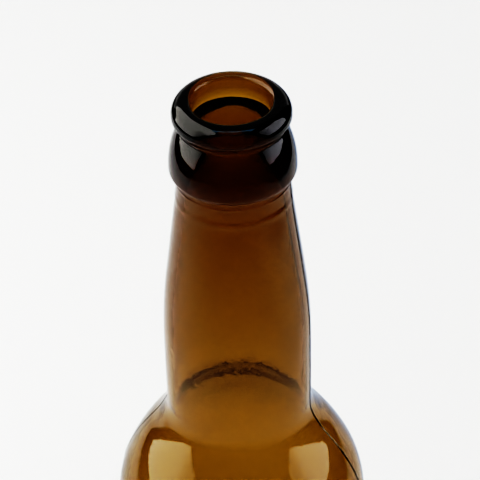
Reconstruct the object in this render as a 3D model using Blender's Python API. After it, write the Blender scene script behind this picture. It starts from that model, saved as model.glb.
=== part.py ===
"""A long-necked glass beer bottle, blown in one piece, empty and open at the mouth.

Metres, +Z up. The origin is the centre of the ring that the bottle stands on, so the lip is at z = HEIGHT.
The bottle is one turned body: an outer outline and an inner one, joined over the lip and closed on the axis.
Sizes below are in millimetres. A depth is measured down from the lip, and a height up from the table.
"""

import math

import bmesh
import bpy
from mathutils import Matrix, Vector

MM = 0.001

# Whole bottle
HEIGHT = 229.0
BODY_RADIUS = 30.5
WALL = 1.8
NECK_WALL = 2.15

# Crown finish: the lip's bead holds the cap, and the ring below it strengthens the mouth
BORE_RADIUS = 8.85
BORE_EDGE_ROUND = 1.2
BEAD_RADIUS = 13.3
BEAD_TOP_ROUND = 3.2
BEAD_FOOT_DEPTH = 4.2
BEAD_FOOT_ROUND = 1.5
GROOVE_RADIUS = 11.8
GROOVE_DEPTH = 6.3
GROOVE_ROUND = 0.8
RING_RADIUS = 14.35
RING_BROW_DEPTH = 11.5
RING_BROW_ROUND = 22.8
RING_FOOT_DEPTH = 18.1
RING_FOOT_ROUND = 1.7
BORE_LENGTH = 13.8
BORE_FOOT_ROUND = 30.0

# Neck: narrow under the ring, widening as a cone, then nearly straight down to the shoulder
NECK_TOP_RADIUS = 12.95
NECK_TOP_DEPTH = 19.0
NECK_TOP_ROUND = 0.8
CONE_TOP_DEPTH = 23.6
CONE_TOP_ROUND = 50.0
CONE_FOOT_RADIUS = 17.35
CONE_FOOT_DEPTH = 57.5
CONE_FOOT_ROUND = 150.0
NECK_FOOT_RADIUS = 17.3

# Shoulder: a ball as wide as the body, a flatter crown over it, then a hollow slope up to the neck.
# A tilt is how far a curve's radius points up where it meets the next one.
SHOULDER_HEIGHT = 111.0
CROWN_ROUND = 52.4
SLOPE_ROUND = 30.5
CROWN_FOOT_TILT = math.radians(25.4)
SLOPE_FOOT_TILT = math.radians(37.5)
SLOPE_TOP_TILT = math.radians(24.6)

# Base: a round heel, a flat ring to stand on, and a shallow dome pushed up inside it
HEEL_ROUND = 5.5
STANDING_RING_INNER_RADIUS = 22.0
PUSH_UP_HEIGHT = 4.0
PUSH_UP_EDGE_ROUND = 1.5
FLOOR_THICKNESS = 4.0
INNER_HEEL_ROUND = 6.0

# Facets: how far a chord may cut inside its arc, and how many flat sides go round the bottle
FACET_SAG = 0.06
SIDES = 48
LEAST_STEP = 0.01
WELD_DISTANCE = 0.001

AMBER = (0.16, 0.055, 0.006, 1.0)
POLISH_ROUGHNESS = 0.03
GLASS_IOR = 1.52
SHARP_ANGLE = math.radians(40)


def arc(centre, radius, start, end):
    """Points of an arc about centre, from angle start to angle end, in radians."""
    step = 2 * math.acos(1 - min(FACET_SAG / radius, 1))
    count = max(2, math.ceil(abs(end - start) / step))
    angles = [start + (end - start) * i / count for i in range(count + 1)]
    return [centre + radius * Vector((math.cos(a), math.sin(a))) for a in angles]


def rounded(corners):
    """An outline through corners (radius, height, rounding), with each turn rounded off by an arc.

    The first and last corners are ends: they stay sharp.
    """
    points = [Vector(corners[0][:2])]
    for before, here, after in zip(corners, corners[1:], corners[2:]):
        corner = Vector(here[:2])
        back = (Vector(before[:2]) - corner).normalized()
        ahead = (Vector(after[:2]) - corner).normalized()
        half_angle = back.angle(ahead) / 2
        centre = corner + (back + ahead).normalized() * here[2] / math.sin(half_angle)
        reach = here[2] / math.tan(half_angle)
        first = corner + back * reach - centre
        last = corner + ahead * reach - centre
        start = math.atan2(first.y, first.x)
        turn = math.remainder(math.atan2(last.y, last.x) - start, 2 * math.pi)
        points += arc(centre, here[2], start, start + turn)
    points.append(Vector(corners[-1][:2]))
    return points


def below_lip(depth):
    """The height of a depth measured down from the lip."""
    return HEIGHT - depth


def toward(tilt):
    """The direction that points out from the axis and up by an angle."""
    return Vector((math.cos(tilt), math.sin(tilt)))


def shoulder(inset):
    """The fillet under the neck, the hollow slope, the crown and the ball below, moved in by inset."""
    ball_centre = Vector((0, SHOULDER_HEIGHT))
    crown_centre = ball_centre + (BODY_RADIUS - CROWN_ROUND) * toward(CROWN_FOOT_TILT)
    slope_centre = crown_centre + (CROWN_ROUND + SLOPE_ROUND) * toward(SLOPE_FOOT_TILT)
    slope_top = slope_centre - SLOPE_ROUND * toward(SLOPE_TOP_TILT)
    fillet_round = (slope_top.x - NECK_FOOT_RADIUS) / (1 - math.cos(SLOPE_TOP_TILT))
    fillet_centre = slope_top + fillet_round * toward(SLOPE_TOP_TILT)
    fillet = arc(fillet_centre, fillet_round + inset, math.pi, math.pi + SLOPE_TOP_TILT)
    slope = arc(slope_centre, SLOPE_ROUND + inset, math.pi + SLOPE_TOP_TILT, math.pi + SLOPE_FOOT_TILT)
    crown = arc(crown_centre, CROWN_ROUND - inset, SLOPE_FOOT_TILT, CROWN_FOOT_TILT)
    ball = arc(ball_centre, BODY_RADIUS - inset, CROWN_FOOT_TILT, 0)
    return fillet + slope[1:] + crown[1:] + ball[1:]


def dome(rim_radius, rim_height, rise):
    """A shallow dome's outline from its crown on the axis out to its rim."""
    ball_radius = (rim_radius**2 + rise**2) / (2 * rise)
    centre = Vector((0, rim_height + rise - ball_radius))
    rim_angle = math.asin((rim_height - centre.y) / ball_radius)
    return arc(centre, ball_radius, math.pi / 2, rim_angle)


def outer_outline():
    """From the lip's highest ring down the outside to the middle of the base."""
    lead = shoulder(0)
    upper = rounded(
        [
            (BORE_RADIUS + BORE_EDGE_ROUND, HEIGHT, 0),
            (BEAD_RADIUS, HEIGHT, BEAD_TOP_ROUND),
            (BEAD_RADIUS, below_lip(BEAD_FOOT_DEPTH), BEAD_FOOT_ROUND),
            (GROOVE_RADIUS, below_lip(GROOVE_DEPTH), GROOVE_ROUND),
            (RING_RADIUS, below_lip(RING_BROW_DEPTH), RING_BROW_ROUND),
            (RING_RADIUS, below_lip(RING_FOOT_DEPTH), RING_FOOT_ROUND),
            (NECK_TOP_RADIUS, below_lip(NECK_TOP_DEPTH), NECK_TOP_ROUND),
            (NECK_TOP_RADIUS, below_lip(CONE_TOP_DEPTH), CONE_TOP_ROUND),
            (CONE_FOOT_RADIUS, below_lip(CONE_FOOT_DEPTH), CONE_FOOT_ROUND),
            (lead[0].x, lead[0].y, 0),
        ]
    )
    push_up = dome(STANDING_RING_INNER_RADIUS, 0, PUSH_UP_HEIGHT)[::-1]
    lower = rounded(
        [
            (BODY_RADIUS, SHOULDER_HEIGHT, 0),
            (BODY_RADIUS, 0, HEEL_ROUND),
            (STANDING_RING_INNER_RADIUS, 0, PUSH_UP_EDGE_ROUND),
            (push_up[1].x, push_up[1].y, 0),
        ]
    )
    return upper[:-1] + lead + lower[1:-1] + push_up[1:]


def inner_outline():
    """From the middle of the floor inside, up the inner wall to the lip's highest ring."""
    inner_radius = BODY_RADIUS - WALL
    floor_rim = inner_radius - INNER_HEEL_ROUND
    floor = dome(floor_rim, FLOOR_THICKNESS, PUSH_UP_HEIGHT)
    lower = rounded(
        [
            (floor[-2].x, floor[-2].y, 0),
            (inner_radius, FLOOR_THICKNESS, INNER_HEEL_ROUND),
            (inner_radius, SHOULDER_HEIGHT, 0),
        ]
    )
    lead = shoulder(WALL)[::-1]
    upper = rounded(
        [
            (lead[-1].x, lead[-1].y, 0),
            (CONE_FOOT_RADIUS - NECK_WALL, below_lip(CONE_FOOT_DEPTH), CONE_FOOT_ROUND),
            (BORE_RADIUS, below_lip(BORE_LENGTH), BORE_FOOT_ROUND),
            (BORE_RADIUS, HEIGHT, BORE_EDGE_ROUND),
            (BORE_RADIUS + BORE_EDGE_ROUND, HEIGHT, 0),
        ]
    )
    return floor[:-1] + lower[1:-1] + lead + upper[1:]


def bottle_outline():
    """The whole outline: up the inside from the floor's middle, over the lip, down the outside."""
    points = inner_outline() + outer_outline()
    kept = [points[0]]
    for point in points[1:]:
        if (point - kept[-1]).length > LEAST_STEP:
            kept.append(point)
    kept[0].x = 0
    kept[-1].x = 0
    return kept


def turned_mesh(name, outline):
    """A mesh of the outline, (radius, height) in millimetres, spun once round the Z axis."""
    shape = bmesh.new()
    row = [shape.verts.new((point.x * MM, 0, point.y * MM)) for point in outline]
    edges = [shape.edges.new(pair) for pair in zip(row, row[1:])]
    bmesh.ops.spin(
        shape,
        geom=row + edges,
        axis=(0, 0, 1),
        angle=2 * math.pi,
        space=Matrix.Identity(4),
        steps=SIDES,
        use_merge=True,
    )
    bmesh.ops.remove_doubles(shape, verts=shape.verts, dist=WELD_DISTANCE * MM)
    bmesh.ops.recalc_face_normals(shape, faces=shape.faces)
    mesh = bpy.data.meshes.new(name)
    shape.to_mesh(mesh)
    shape.free()
    mesh.shade_smooth()
    mesh.set_sharp_from_angle(angle=SHARP_ANGLE)
    return mesh


def amber_glass():
    """Clear brown glass with a fire-polished surface."""
    material = bpy.data.materials.new("amber_glass")
    material.use_nodes = True
    shader = material.node_tree.nodes["Principled BSDF"]
    shader.inputs["Base Color"].default_value = AMBER
    shader.inputs["Metallic"].default_value = 0.0
    shader.inputs["Roughness"].default_value = POLISH_ROUGHNESS
    shader.inputs["IOR"].default_value = GLASS_IOR
    shader.inputs["Transmission Weight"].default_value = 1.0
    return material


def make_bottle():
    """The one solid: the glass bottle."""
    bottle = bpy.data.objects.new("bottle", turned_mesh("bottle", bottle_outline()))
    bottle.data.materials.append(amber_glass())
    bpy.context.scene.collection.objects.link(bottle)


for old in list(bpy.data.objects):
    bpy.data.objects.remove(old)
make_bottle()
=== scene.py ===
"""Looks of an empty long-necked beer bottle in amber glass, on a pale studio floor.

Metres, +Z up, in the bottle's own frame: it stands on z = 0, its axis is the Z axis, and -Y is its front.
The bottle's own sizes are named in millimetres, and MM turns them into metres. The camera's and the
studio's are in metres, but for the softboxes' places and corners, which are in millimetres too.
"""

import math

import bpy
from mathutils import Matrix, Vector, noise


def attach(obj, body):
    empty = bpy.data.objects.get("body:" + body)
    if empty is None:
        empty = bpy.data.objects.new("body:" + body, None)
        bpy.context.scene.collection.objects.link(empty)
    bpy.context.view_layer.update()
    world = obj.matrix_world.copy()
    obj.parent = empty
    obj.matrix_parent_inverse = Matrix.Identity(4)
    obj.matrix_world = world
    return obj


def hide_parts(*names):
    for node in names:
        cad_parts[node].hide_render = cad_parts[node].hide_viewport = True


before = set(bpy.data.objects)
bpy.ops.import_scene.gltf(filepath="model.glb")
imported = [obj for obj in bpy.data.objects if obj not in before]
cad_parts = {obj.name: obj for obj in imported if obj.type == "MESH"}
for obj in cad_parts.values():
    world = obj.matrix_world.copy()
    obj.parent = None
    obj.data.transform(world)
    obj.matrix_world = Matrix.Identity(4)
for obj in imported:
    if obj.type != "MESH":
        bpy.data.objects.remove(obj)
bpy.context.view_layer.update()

MM = 0.001

# ---------------------------------------------------------------- sizes of the bottle, as in the solid

HEIGHT = 229.0
BODY_RADIUS = 30.5
WALL = 1.8
NECK_WALL = 2.15

BORE_RADIUS = 8.85
BORE_EDGE_ROUND = 1.2
BEAD_RADIUS = 13.3
BEAD_TOP_ROUND = 3.2
BEAD_FOOT_DEPTH = 4.2
BEAD_FOOT_ROUND = 1.5
GROOVE_RADIUS = 11.8
GROOVE_DEPTH = 6.3
GROOVE_ROUND = 0.8
RING_RADIUS = 14.35
RING_BROW_DEPTH = 11.5
RING_BROW_ROUND = 22.8
RING_FOOT_DEPTH = 18.1
RING_FOOT_ROUND = 1.7
BORE_LENGTH = 13.8
BORE_FOOT_ROUND = 30.0

NECK_TOP_RADIUS = 12.95
NECK_TOP_DEPTH = 19.0
NECK_TOP_ROUND = 0.8
CONE_TOP_DEPTH = 23.6
CONE_TOP_ROUND = 50.0
CONE_FOOT_RADIUS = 17.35
CONE_FOOT_DEPTH = 57.5
CONE_FOOT_ROUND = 150.0
NECK_FOOT_RADIUS = 17.3

SHOULDER_HEIGHT = 111.0
CROWN_ROUND = 52.4
SLOPE_ROUND = 30.5
CROWN_FOOT_TILT = math.radians(25.4)
SLOPE_FOOT_TILT = math.radians(37.5)
SLOPE_TOP_TILT = math.radians(24.6)

HEEL_ROUND = 5.5
STANDING_RING_INNER_RADIUS = 22.0
PUSH_UP_HEIGHT = 4.0
PUSH_UP_EDGE_ROUND = 1.5
FLOOR_THICKNESS = 4.0
INNER_HEEL_ROUND = 6.0

# ---------------------------------------------------------------- fineness of the mesh

FACET_SAG = 0.004
LONGEST_STEP = 1.6
LEAST_STEP = 0.02
SIDES = 184

# ---------------------------------------------------------------- marks of the making

SEAM_AZIMUTHS = (math.radians(77.5), math.radians(257.5))
SEAM_HALF_WIDTH = 0.3
SEAM_HEIGHTS = (0.135, 0.1)
SEAM_TOP_DEPTH = 18.0
SEAM_FADE = 2.0
SEAM_COLUMN_OFFSETS = tuple(math.radians(a) for a in (0.25, 0.5, 0.8, 1.15))
# Even columns nearer to a seam than this many times its last offset make way for the seam's own.
SEAM_COLUMN_CLEARANCE = 1.3
RING_SEAM_DEPTH = 20.6
RING_SEAM_HALF_WIDTH = 0.4
RING_SEAM_HEIGHT = 0.08
RIPPLE_DEPTH = 25.0
RIPPLE_HALF_WIDTH = 1.3
RIPPLE_HEIGHT = 0.085
FINE_STEP = 0.12
WAVE_LENGTH = 21.0
MOUTH_DEPTH = 12.0
INNER_WAVE = 0.16
INNER_WAVE_SHIFT = Vector((7.3, 1.9, 4.1))
INNER_RIPPLE = 0.035
INNER_RIPPLES_PER_LENGTH = 3.2
INNER_RIPPLE_SHIFT = Vector((2.1, 8.4, 5.7))
OUTER_WAVE = 0.03
OUTER_WAVES_PER_LENGTH = 1.7
SMOOTH_LIP_DEPTH = 0.5
PEEL_SIZE = 1.2
PEEL_HEIGHT = 0.02

# ---------------------------------------------------------------- the glass and the paper

# A millimetre of this glass lets through about 74% of red light, 64% of green and 37% of blue.
AMBER = "D9C500"
AMBER_DENSITY = 1000.0
SODA_LIME_IOR = 1.52
WHITE = "FFFFFF"
PAPER_WHITE = "F4F4F3"

# ---------------------------------------------------------------- camera

LIP = Vector((0, 0, HEIGHT * MM))
CAMERA_DISTANCE = 480.0 * MM
CAMERA_ELEVATION = math.radians(34.5)
CAMERA_AIM = Vector((1.14 * MM, 0, 190.2 * MM))
CAMERA_ROLL = math.radians(1.46)
CAMERA_LENS = 165.75
SENSOR_WIDTH = 36.0

# ---------------------------------------------------------------- studio

FLOOR_REACH = 4.0
FLOOR_DROP = 0.1 * MM
FAR_FLOOR_GLOW = 0.9
FAR_FLOOR_BEGINS = 0.65
FAR_FLOOR_FULL = 1.3

# The softboxes are flat and stand across the X axis, one at each side, with corners (y, z).
SOFTBOX_SIDE = 600.0
SOFTBOX_FRONT_SHARE = 0.5
SOFTBOX_DIM_Y = -0.36
SOFTBOX_FULL_Y = -0.1
LEFT_SOFTBOX = [(-225, 90), (-300, 220), (-418, 405), (-520, 800), (743, 800), (375, 300), (375, 90)]
LEFT_SOFTBOX_TOP = [
    (-520, 800),
    (-775, 1537),
    (48, 2070),
    (864, 1890),
    (1222, 1427),
    (743, 430),
    (375, 300),
    (743, 800),
]
LEFT_SOFTBOX_GLOW = 3.15
LEFT_SOFTBOX_COLOUR = "FFFDF7"
RIGHT_SOFTBOX = [
    (-275, 138),
    (-350, 260),
    (-412, 432),
    (-470, 850),
    (-190, 899),
    (208, 757),
    (235, 432),
    (235, 138),
]
RIGHT_SOFTBOX_GLOW = 2.85
RIGHT_SOFTBOX_COLOUR = "F9F9FF"

# Painted shade on the paper's reflection, which only mirrors see: each edge is clear at its first place
# and black at its second.
PAPER_RIGHT_EDGE = (0.36, 0.44)
PAPER_LEFT_EDGE = (-0.47, -0.53)
PAPER_FRONT_EDGE = (0.05, -0.6)

# Painted pale blue in the paper's reflection, fan-shaped, behind at the right: how far across for each
# step back, and how far back.
FAN_BEGINS = (0.08, 0.2)
FAN_ENDS = (0.95, 0.6)
FAN_BEHIND = (0.02, 0.06)
PAINTED_REFLECTION_BLUE = "D1DEF1"

FLOOR_CARD_LIFT = 0.0005
WALL_CARD_SIDE = 1.1
WALL_CARD_FRONT = -1.5
WALL_CARD_BACK = 1.2
WALL_CARD_HEIGHT = 4.0
STRIP_HALF_LENGTH = 1.0
STRIP_FRONT = -0.46
STRIP_BACK = 0.14
STRIP_HEIGHT = 2.5
STRIP_GLOW = 2.295
STRIP_COLOUR = "A4E0FF"

# The world's glow falls from the horizon's to the sky's between two heights on the unit sphere.
HORIZON_GLOW = 0.9
SKY_GLOW = 0.3
HORIZON_TOP = 0.1
SKY_FOOT = 0.3

# ---------------------------------------------------------------- tones

EYE_GAMMA = 2.2
CONTRAST_CURVE = [
    (0, 0.006),
    (0.15, 0.03),
    (0.287, 0.1),
    (0.42, 0.28),
    (0.698, 0.77),
    (0.933, 0.948),
    (1.0, 0.982),
]


def below_lip(depth):
    """The height of a depth measured down from the lip."""
    return HEIGHT - depth


def arc(centre, radius, start, end):
    """Points of an arc about centre, from angle start to angle end, in radians."""
    step = min(2 * math.acos(1 - min(FACET_SAG / radius, 1)), LONGEST_STEP / radius)
    count = max(2, math.ceil(abs(end - start) / step))
    angles = [start + (end - start) * i / count for i in range(count + 1)]
    return [centre + radius * Vector((math.cos(a), math.sin(a))) for a in angles]


def rounded(corners):
    """An outline through corners (radius, height, rounding), each turn rounded off by an arc."""
    points = [Vector(corners[0][:2])]
    for before, here, after in zip(corners, corners[1:], corners[2:]):
        corner = Vector(here[:2])
        back = (Vector(before[:2]) - corner).normalized()
        ahead = (Vector(after[:2]) - corner).normalized()
        half_angle = back.angle(ahead) / 2
        centre = corner + (back + ahead).normalized() * here[2] / math.sin(half_angle)
        reach = here[2] / math.tan(half_angle)
        first = corner + back * reach - centre
        last = corner + ahead * reach - centre
        start = math.atan2(first.y, first.x)
        turn = math.remainder(math.atan2(last.y, last.x) - start, 2 * math.pi)
        points += arc(centre, here[2], start, start + turn)
    points.append(Vector(corners[-1][:2]))
    return points


def toward(tilt):
    """The direction that points out from the axis and up by an angle."""
    return Vector((math.cos(tilt), math.sin(tilt)))


def shoulder(inset):
    """The fillet under the neck, the hollow slope, the crown and the ball below, moved in by inset."""
    ball_centre = Vector((0, SHOULDER_HEIGHT))
    crown_centre = ball_centre + (BODY_RADIUS - CROWN_ROUND) * toward(CROWN_FOOT_TILT)
    slope_centre = crown_centre + (CROWN_ROUND + SLOPE_ROUND) * toward(SLOPE_FOOT_TILT)
    slope_top = slope_centre - SLOPE_ROUND * toward(SLOPE_TOP_TILT)
    fillet_round = (slope_top.x - NECK_FOOT_RADIUS) / (1 - math.cos(SLOPE_TOP_TILT))
    fillet_centre = slope_top + fillet_round * toward(SLOPE_TOP_TILT)
    fillet = arc(fillet_centre, fillet_round + inset, math.pi, math.pi + SLOPE_TOP_TILT)
    slope = arc(slope_centre, SLOPE_ROUND + inset, math.pi + SLOPE_TOP_TILT, math.pi + SLOPE_FOOT_TILT)
    crown = arc(crown_centre, CROWN_ROUND - inset, SLOPE_FOOT_TILT, CROWN_FOOT_TILT)
    ball = arc(ball_centre, BODY_RADIUS - inset, CROWN_FOOT_TILT, 0)
    return fillet + slope[1:] + crown[1:] + ball[1:]


def dome(rim_radius, rim_height, rise):
    """A shallow dome's outline from its crown on the axis out to its rim."""
    ball_radius = (rim_radius**2 + rise**2) / (2 * rise)
    centre = Vector((0, rim_height + rise - ball_radius))
    rim_angle = math.asin((rim_height - centre.y) / ball_radius)
    return arc(centre, ball_radius, math.pi / 2, rim_angle)


def outer_outline():
    """From the lip's highest ring down the outside to the middle of the base."""
    lead = shoulder(0)
    upper = rounded(
        [
            (BORE_RADIUS + BORE_EDGE_ROUND, HEIGHT, 0),
            (BEAD_RADIUS, HEIGHT, BEAD_TOP_ROUND),
            (BEAD_RADIUS, below_lip(BEAD_FOOT_DEPTH), BEAD_FOOT_ROUND),
            (GROOVE_RADIUS, below_lip(GROOVE_DEPTH), GROOVE_ROUND),
            (RING_RADIUS, below_lip(RING_BROW_DEPTH), RING_BROW_ROUND),
            (RING_RADIUS, below_lip(RING_FOOT_DEPTH), RING_FOOT_ROUND),
            (NECK_TOP_RADIUS, below_lip(NECK_TOP_DEPTH), NECK_TOP_ROUND),
            (NECK_TOP_RADIUS, below_lip(CONE_TOP_DEPTH), CONE_TOP_ROUND),
            (CONE_FOOT_RADIUS, below_lip(CONE_FOOT_DEPTH), CONE_FOOT_ROUND),
            (lead[0].x, lead[0].y, 0),
        ]
    )
    push_up = dome(STANDING_RING_INNER_RADIUS, 0, PUSH_UP_HEIGHT)[::-1]
    lower = rounded(
        [
            (BODY_RADIUS, SHOULDER_HEIGHT, 0),
            (BODY_RADIUS, 0, HEEL_ROUND),
            (STANDING_RING_INNER_RADIUS, 0, PUSH_UP_EDGE_ROUND),
            (push_up[1].x, push_up[1].y, 0),
        ]
    )
    return upper[:-1] + lead + lower[1:-1] + push_up[1:]


def inner_outline():
    """From the middle of the floor inside, up the inner wall to the lip's highest ring."""
    inner_radius = BODY_RADIUS - WALL
    floor = dome(inner_radius - INNER_HEEL_ROUND, FLOOR_THICKNESS, PUSH_UP_HEIGHT)
    lower = rounded(
        [
            (floor[-2].x, floor[-2].y, 0),
            (inner_radius, FLOOR_THICKNESS, INNER_HEEL_ROUND),
            (inner_radius, SHOULDER_HEIGHT, 0),
        ]
    )
    lead = shoulder(WALL)[::-1]
    upper = rounded(
        [
            (lead[-1].x, lead[-1].y, 0),
            (CONE_FOOT_RADIUS - NECK_WALL, below_lip(CONE_FOOT_DEPTH), CONE_FOOT_ROUND),
            (BORE_RADIUS, below_lip(BORE_LENGTH), BORE_FOOT_ROUND),
            (BORE_RADIUS, HEIGHT, BORE_EDGE_ROUND),
            (BORE_RADIUS + BORE_EDGE_ROUND, HEIGHT, 0),
        ]
    )
    return floor[:-1] + lower[1:-1] + lead + upper[1:]


def step_at(height):
    """The longest step between two rows: short where the neck has its fine rings."""
    if abs(height - below_lip(RING_SEAM_DEPTH)) < 2 * RING_SEAM_HALF_WIDTH:
        return FINE_STEP
    if abs(height - below_lip(RIPPLE_DEPTH)) < RIPPLE_HALF_WIDTH:
        return 2 * FINE_STEP
    return LONGEST_STEP


def ridge(away, half_width, height):
    """How high a rounded ridge stands at a distance from its middle."""
    return height * max(0, 1 - (away / half_width) ** 2) ** 2


def evenly_stepped(points):
    """The outline without repeated points, and with long straight runs cut into short steps."""
    kept = [points[0]]
    for point in points[1:]:
        run = (point - kept[-1]).length
        if run < LEAST_STEP:
            continue
        pieces = math.ceil(run / step_at((point.y + kept[-1].y) / 2))
        start = kept[-1].copy()
        kept += [start.lerp(point, i / pieces) for i in range(1, pieces + 1)]
    kept[0].x = 0
    kept[-1].x = 0
    return kept


def columns():
    """The azimuths of the mesh's columns: even all round, with a few more close to each mould seam."""
    azimuths = [2 * math.pi * i / SIDES for i in range(SIDES)]
    for seam in SEAM_AZIMUTHS:
        near = SEAM_COLUMN_OFFSETS[-1] * SEAM_COLUMN_CLEARANCE
        azimuths = [a for a in azimuths if abs(math.remainder(a - seam, 2 * math.pi)) > near]
        azimuths += [seam] + [seam + side * a for a in SEAM_COLUMN_OFFSETS for side in (-1, 1)]
    return sorted(a % (2 * math.pi) for a in azimuths)


def bottle_mesh():
    """The glass as one closed skin: up the inside, over the lip, down the outside and under the base."""
    inside = evenly_stepped(inner_outline())
    outside = evenly_stepped(outer_outline())
    outside[0].x = inside[-1].x
    outline = inside[:-1] + outside
    outline[len(inside) - 1].x = BORE_RADIUS + BORE_EDGE_ROUND
    is_outside = [i >= len(inside) - 1 for i in range(len(outline))]
    normals = outline_normals(outline)
    azimuths = columns()
    points = [(0.0, 0.0, outline[0].y)]
    for here, normal, outer in list(zip(outline, normals, is_outside))[1:-1]:
        for azimuth in azimuths:
            push = marks(here, azimuth, outer)
            radius = here.x + normal.x * push
            height = max(here.y + normal.y * push, 0.0)
            points.append((radius * math.sin(azimuth), -radius * math.cos(azimuth), height))
    points.append((0.0, 0.0, outline[-1].y))
    around = len(azimuths)
    rows = len(outline) - 2
    last = len(points) - 1
    faces = [(0, 1 + j, 1 + (j + 1) % around) for j in range(around)]
    for i in range(rows - 1):
        low = 1 + i * around
        for j in range(around):
            k = (j + 1) % around
            faces.append((low + j, low + around + j, low + around + k, low + k))
    low = 1 + (rows - 1) * around
    faces += [(low + (j + 1) % around, low + j, last) for j in range(around)]
    mesh = bpy.data.meshes.new("amber_bottle")
    mesh.from_pydata([Vector(p) * MM for p in points], [], faces)
    mesh.validate()
    mesh.shade_smooth()
    return mesh


def outline_normals(outline):
    """Unit vectors that point out of the glass, one for each point of the outline."""
    found = []
    for i in range(len(outline)):
        along = outline[min(i + 1, len(outline) - 1)] - outline[max(i - 1, 0)]
        along.normalize()
        found.append(Vector((-along.y, along.x)))
    return found


def marks(here, azimuth, outer):
    """How far a point of the skin stands out from the true turned shape, in millimetres."""
    spot = Vector((here.x * math.sin(azimuth), -here.x * math.cos(azimuth), here.y)) / WAVE_LENGTH
    depth = HEIGHT - here.y
    if not outer:
        below_mouth = min(max((depth - MOUTH_DEPTH) / MOUTH_DEPTH, 0), 1)
        slow = INNER_WAVE * noise.noise(spot + INNER_WAVE_SHIFT)
        quick = INNER_RIPPLE * noise.noise(spot * INNER_RIPPLES_PER_LENGTH + INNER_RIPPLE_SHIFT)
        return below_mouth * (slow + quick)
    push = OUTER_WAVE * noise.noise(spot * OUTER_WAVES_PER_LENGTH)
    if here.y > HEIGHT - SMOOTH_LIP_DEPTH:
        push = 0
    below_finish = min(max((depth - SEAM_TOP_DEPTH) / SEAM_FADE, 0), 1)
    for seam, height in zip(SEAM_AZIMUTHS, SEAM_HEIGHTS):
        away = math.remainder(azimuth - seam, 2 * math.pi) * here.x
        push += ridge(away, SEAM_HALF_WIDTH, height * below_finish)
    push += ridge(depth - RING_SEAM_DEPTH, RING_SEAM_HALF_WIDTH, RING_SEAM_HEIGHT)
    push += ridge(depth - RIPPLE_DEPTH, RIPPLE_HALF_WIDTH, RIPPLE_HEIGHT)
    return push


# ---------------------------------------------------------------- materials


def linear(hex_colour):
    """An sRGB colour written as hex digits, turned into linear red, green, blue and alpha."""
    values = [int(hex_colour[i : i + 2], 16) / 255 for i in (0, 2, 4)]
    return [v / 12.92 if v <= 0.04045 else ((v + 0.055) / 1.055) ** 2.4 for v in values] + [1.0]


def add(tree, kind, links=None, **settings):
    """Adds a node to a tree: settings name its sockets or its properties, links name sockets to feed."""
    node = tree.nodes.new(kind)
    for name, value in settings.items():
        socket = name.replace("_", " ")
        if socket in node.inputs:
            node.inputs[socket].default_value = value
        else:
            setattr(node, name, value)
    for name, source in (links or {}).items():
        tree.links.new(source, node.inputs[name])
    return node


def new_material(name):
    """An empty node material and its tree."""
    material = bpy.data.materials.new(name)
    material.use_nodes = True
    material.node_tree.nodes.clear()
    return material, material.node_tree


def amber_glass():
    """Mould-blown amber soda-lime glass, brown right through.

    The eye sees honey brown where one wall is thin, red brown at the neck and nearly black at the thick
    finish, with sharp window-like reflections. The mould and the cooling leave a faint peel on the skin,
    drawn a little coarser than it is so that it shows.
    """
    material, tree = new_material("mould_blown_amber_soda_lime_glass")
    place = add(tree, "ShaderNodeTexCoord")
    peel = add(
        tree,
        "ShaderNodeTexNoise",
        {"Vector": place.outputs["Object"]},
        Scale=1 / (PEEL_SIZE * MM),
        Detail=1.0,
    )
    skin = add(
        tree,
        "ShaderNodeBump",
        {"Height": peel.outputs["Fac"]},
        Strength=1.0,
        Distance=PEEL_HEIGHT * MM,
    )
    shader = add(
        tree,
        "ShaderNodeBsdfPrincipled",
        {"Normal": skin.outputs["Normal"]},
        Base_Color=linear(WHITE),
        Roughness=0.0,
        IOR=SODA_LIME_IOR,
        Transmission_Weight=1.0,
    )
    inside = add(tree, "ShaderNodeVolumeAbsorption", Color=linear(AMBER), Density=AMBER_DENSITY)
    add(
        tree,
        "ShaderNodeOutputMaterial",
        {"Surface": shader.outputs["BSDF"], "Volume": inside.outputs["Volume"]},
    )
    return material


def floor_paper():
    """Matt white background paper: soft grey-white near the bottle, and a seamless glow far off."""
    material, tree = new_material("matt_white_background_paper")
    paper = add(
        tree,
        "ShaderNodeBsdfPrincipled",
        Base_Color=linear(PAPER_WHITE),
        Roughness=0.9,
        Specular_IOR_Level=0.1,
    )
    place = add(tree, "ShaderNodeTexCoord")
    away = add(tree, "ShaderNodeVectorMath", {0: place.outputs["Object"]}, operation="LENGTH")
    far = add(
        tree,
        "ShaderNodeMapRange",
        {"Value": away.outputs["Value"]},
        From_Min=FAR_FLOOR_BEGINS,
        From_Max=FAR_FLOOR_FULL,
    )
    glow = add(tree, "ShaderNodeEmission", Strength=FAR_FLOOR_GLOW)
    both = add(tree, "ShaderNodeMixShader", {0: far.outputs[0], 1: paper.outputs[0], 2: glow.outputs[0]})
    add(tree, "ShaderNodeOutputMaterial", {"Surface": both.outputs[0]})
    return material


def lit_cloth(name, strength, colour, front_share=1.0):
    """Cloth lit from behind, whose glow falls to front_share of itself at its front edge.

    With front_share 1 it looks evenly bright, and with no strength it is black card.
    """
    material, tree = new_material(name)
    place = add(tree, "ShaderNodeTexCoord")
    split = add(tree, "ShaderNodeSeparateXYZ", {"Vector": place.outputs["Object"]})
    fall = add(
        tree,
        "ShaderNodeMapRange",
        {"Value": split.outputs["Y"]},
        interpolation_type="SMOOTHSTEP",
        From_Min=SOFTBOX_DIM_Y,
        From_Max=SOFTBOX_FULL_Y,
        To_Min=strength * front_share,
        To_Max=strength,
    )
    glow = add(tree, "ShaderNodeEmission", {"Strength": fall.outputs["Result"]}, Color=linear(colour))
    add(tree, "ShaderNodeOutputMaterial", {"Surface": glow.outputs["Emission"]})
    return material


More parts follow.
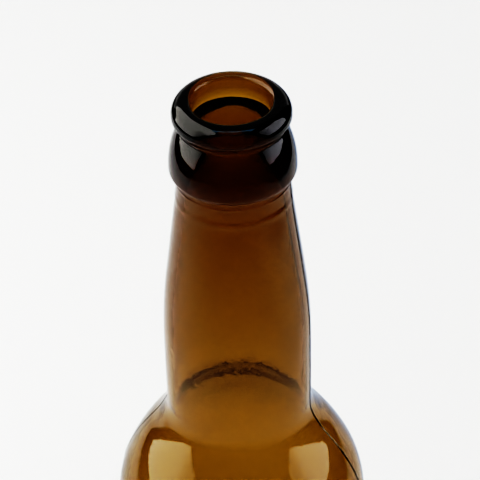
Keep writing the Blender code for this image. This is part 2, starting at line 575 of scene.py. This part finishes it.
def shade_beyond_paper():
    """Painted reflection shade: clear over the lit paper, black beyond its soft edges, and a painted pale
    blue fan behind at the right.
    """
    material, tree = new_material("shade_beyond_the_paper")
    place = add(tree, "ShaderNodeTexCoord")
    split = add(tree, "ShaderNodeSeparateXYZ", {"Vector": place.outputs["Object"]})
    across = split.outputs["X"]
    back = split.outputs["Y"]
    slant = add(tree, "ShaderNodeMath", {0: across, 1: back}, operation="DIVIDE").outputs[0]
    edges = (
        (across, PAPER_RIGHT_EDGE),
        (across, PAPER_LEFT_EDGE),
        (back, PAPER_FRONT_EDGE),
        (slant, FAN_BEGINS),
        (slant, FAN_ENDS),
        (back, FAN_BEHIND),
    )
    right, left, front, begins, ends, behind = [
        add(
            tree,
            "ShaderNodeMapRange",
            {"Value": source},
            From_Min=clear_at,
            From_Max=full_at,
            interpolation_type="SMOOTHSTEP",
        ).outputs[0]
        for source, (clear_at, full_at) in edges
    ]
    sides = add(tree, "ShaderNodeMath", {0: right, 1: left}, operation="MAXIMUM")
    either = add(tree, "ShaderNodeMath", {0: sides.outputs[0], 1: front}, operation="MAXIMUM")
    fan = add(tree, "ShaderNodeMath", {0: begins, 1: ends}, operation="MULTIPLY")
    wedge = add(tree, "ShaderNodeMath", {0: fan.outputs[0], 1: behind}, operation="MULTIPLY")
    clear = add(tree, "ShaderNodeBsdfTransparent")
    # Painted pale blue, seen only in reflections of the paper.
    blue = add(tree, "ShaderNodeBsdfTransparent", Color=linear(PAINTED_REFLECTION_BLUE))
    tinted = add(
        tree,
        "ShaderNodeMixShader",
        {0: wedge.outputs[0], 1: clear.outputs[0], 2: blue.outputs[0]},
    )
    # Painted shade: black in reflections beyond the paper's edges.
    black = add(tree, "ShaderNodeEmission", Strength=0.0)
    shade = add(
        tree,
        "ShaderNodeMixShader",
        {0: either.outputs[0], 1: tinted.outputs[0], 2: black.outputs[0]},
    )
    add(tree, "ShaderNodeOutputMaterial", {"Surface": shade.outputs[0]})
    return material


# ---------------------------------------------------------------- the bottle

bottle = bpy.data.objects.new("amber_bottle", bottle_mesh())
bottle.data.materials.append(amber_glass())
bpy.context.scene.collection.objects.link(bottle)
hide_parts("bottle")
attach(bottle, "root")


# ---------------------------------------------------------------- camera and studio


def make_camera():
    """The camera looks down on the mouth from the front, and leans a little."""
    data = bpy.data.cameras.new("camera")
    data.lens = CAMERA_LENS
    data.sensor_width = SENSOR_WIDTH
    camera = bpy.data.objects.new("camera", data)
    back = Vector((0, -math.cos(CAMERA_ELEVATION), math.sin(CAMERA_ELEVATION)))
    camera.location = LIP + back * CAMERA_DISTANCE
    aim = (CAMERA_AIM - camera.location).to_track_quat("-Z", "Y")
    lean = Matrix.Rotation(-CAMERA_ROLL, 4, "Z").to_quaternion()
    camera.rotation_mode = "QUATERNION"
    camera.rotation_quaternion = aim @ lean
    bpy.context.scene.collection.objects.link(camera)
    bpy.context.scene.camera = camera


def flat_sheet(name, corners, material):
    """One flat face through corners in metres, which isn't part of the bottle."""
    mesh = bpy.data.meshes.new(name)
    mesh.from_pydata(corners, [], [tuple(range(len(corners)))])
    sheet = bpy.data.objects.new(name, mesh)
    sheet.data.materials.append(material)
    bpy.context.scene.collection.objects.link(sheet)
    return sheet


def level_sheet(reach, height):
    """The corners of a square sheet at a height, which reaches as far to every side."""
    return [
        (-reach, -reach, height),
        (reach, -reach, height),
        (reach, reach, height),
        (-reach, reach, height),
    ]


def make_floor():
    """A wide floor of white paper, just under the bottle."""
    floor = flat_sheet("floor", level_sheet(FLOOR_REACH, 0), floor_paper())
    floor.location.z = -FLOOR_DROP


def only_in_reflections(sheet):
    """Leaves a sheet to be seen by reflections alone: not straight on, nor through the glass."""
    sheet.visible_camera = False
    sheet.visible_diffuse = False
    sheet.visible_transmission = False
    sheet.visible_shadow = False


def make_softbox(name, side, corners, strength, colour):
    """A flat lit cloth across the X axis, side millimetres from the bottle's, turned toward it."""
    order = corners if side < 0 else corners[::-1]
    cloth = lit_cloth(name, strength, colour, SOFTBOX_FRONT_SHARE)
    only_in_reflections(flat_sheet(name, [(side * MM, y * MM, z * MM) for y, z in order], cloth))


def wall_card(side):
    """The corners of an upright card across the X axis."""
    return [
        (side, -FLOOR_REACH, 0),
        (side, WALL_CARD_BACK, 0),
        (side, WALL_CARD_BACK, WALL_CARD_HEIGHT),
        (side, -FLOOR_REACH, WALL_CARD_HEIGHT),
    ]


def make_mirror_cards():
    """Black cards round the paper, painted shade and blue on the paper's reflection, the strip above and
    the left softbox's top, which only mirrors see.
    """
    black = lit_cloth("black_card", 0.0, WHITE)
    strip = lit_cloth("overhead_strip_cloth", STRIP_GLOW, STRIP_COLOUR)
    left_cloth = lit_cloth("left_softbox_top_cloth", LEFT_SOFTBOX_GLOW, LEFT_SOFTBOX_COLOUR)
    front_wall = [
        (-WALL_CARD_SIDE, WALL_CARD_FRONT, 0),
        (WALL_CARD_SIDE, WALL_CARD_FRONT, 0),
        (WALL_CARD_SIDE, WALL_CARD_FRONT, WALL_CARD_HEIGHT),
        (-WALL_CARD_SIDE, WALL_CARD_FRONT, WALL_CARD_HEIGHT),
    ]
    overhead = [
        (-STRIP_HALF_LENGTH, STRIP_FRONT, STRIP_HEIGHT),
        (STRIP_HALF_LENGTH, STRIP_FRONT, STRIP_HEIGHT),
        (STRIP_HALF_LENGTH, STRIP_BACK, STRIP_HEIGHT),
        (-STRIP_HALF_LENGTH, STRIP_BACK, STRIP_HEIGHT),
    ]
    in_front_of_softbox = -(SOFTBOX_SIDE - 1) * MM
    softbox_top = [(in_front_of_softbox, y * MM, z * MM) for y, z in LEFT_SOFTBOX_TOP]
    cards = {
        # Painted shade and pale blue over the floor's reflection, seen only by mirrors.
        "painted_reflection_shade_card": (level_sheet(FLOOR_REACH, FLOOR_CARD_LIFT), shade_beyond_paper()),
        "left_wall_card": (wall_card(-WALL_CARD_SIDE), black),
        "right_wall_card": (wall_card(WALL_CARD_SIDE), black),
        "front_wall_card": (front_wall, black),
        "overhead_strip": (overhead, strip),
        "left_softbox_top": (softbox_top, left_cloth),
    }
    for name, (corners, material) in cards.items():
        card = flat_sheet(name, corners, material)
        only_in_reflections(card)
        card.visible_volume_scatter = False


def make_lamp(name, location, size, power, aim):
    """A big soft square lamp, seen by no mirror."""
    data = bpy.data.lights.new(name, "AREA")
    data.shape = "SQUARE"
    data.size = size
    data.energy = power
    lamp = bpy.data.objects.new(name, data)
    lamp.location = location
    lamp.rotation_euler = (Vector(aim) - Vector(location)).to_track_quat("-Z", "Y").to_euler()
    lamp.visible_camera = False
    lamp.visible_glossy = False
    bpy.context.scene.collection.objects.link(lamp)


def make_lamps():
    """Soft lamps that light the paper."""
    make_lamp("paper_lamp", location=(0.25, 0.3, 2.0), size=2.5, power=33.5, aim=(0, 0, 0))
    make_lamp("left_paper_lamp", location=(-0.5, 0.1, 0.5), size=0.4, power=1.2, aim=(-0.45, 0.1, 0))


def make_world():
    """Bright all round at the paper's level, and darker above."""
    world = bpy.data.worlds.new("studio")
    world.use_nodes = True
    tree = world.node_tree
    tree.nodes.clear()
    place = add(tree, "ShaderNodeTexCoord")
    split = add(tree, "ShaderNodeSeparateXYZ", {"Vector": place.outputs["Generated"]})
    glow = add(
        tree,
        "ShaderNodeMapRange",
        {"Value": split.outputs["Z"]},
        From_Min=HORIZON_TOP,
        From_Max=SKY_FOOT,
        To_Min=HORIZON_GLOW,
        To_Max=SKY_GLOW,
    )
    sky = add(tree, "ShaderNodeBackground", {"Strength": glow.outputs["Result"]}, Color=linear(WHITE))
    add(tree, "ShaderNodeOutputWorld", {"Surface": sky.outputs[0]})
    bpy.context.scene.world = world


def set_view():
    """Plain colours, and enough bounces for light to cross four walls of glass."""
    scene = bpy.context.scene
    scene.view_settings.view_transform = "Standard"
    scene.view_settings.look = "None"
    scene.cycles.max_bounces = 24
    scene.cycles.transmission_bounces = 24
    scene.cycles.glossy_bounces = 12
    scene.cycles.diffuse_bounces = 3
    scene.cycles.transparent_max_bounces = 12
    scene.cycles.caustics_reflective = True
    scene.cycles.caustics_refractive = True
    scene.cycles.blur_glossy = 0.3
    scene.cycles.sample_clamp_indirect = 8.0
    scene.cycles.use_denoising = True


def set_tones():
    """A contrast curve over the finished view, drawn on tones as the eye spaces them."""
    scene = bpy.context.scene
    scene.use_nodes = True
    tree = scene.node_tree
    tree.nodes.clear()
    view = add(tree, "CompositorNodeRLayers")
    eye = add(tree, "CompositorNodeGamma", {"Image": view.outputs["Image"]}, Gamma=1 / EYE_GAMMA)
    curve = add(tree, "CompositorNodeCurveRGB", {"Image": eye.outputs["Image"]})
    points = curve.mapping.curves[3].points
    for spot in CONTRAST_CURVE[1:-1]:
        points.new(*spot)
    points[0].location = CONTRAST_CURVE[0]
    points[-1].location = CONTRAST_CURVE[-1]
    curve.mapping.update()
    lit = add(tree, "CompositorNodeGamma", {"Image": curve.outputs["Image"]}, Gamma=EYE_GAMMA)
    add(tree, "CompositorNodeComposite", {"Image": lit.outputs["Image"]})


make_camera()
make_floor()
make_softbox("left_softbox", -SOFTBOX_SIDE, LEFT_SOFTBOX, LEFT_SOFTBOX_GLOW, LEFT_SOFTBOX_COLOUR)
make_softbox("right_softbox", SOFTBOX_SIDE, RIGHT_SOFTBOX, RIGHT_SOFTBOX_GLOW, RIGHT_SOFTBOX_COLOUR)
make_mirror_cards()
make_lamps()
make_world()
set_view()
set_tones()
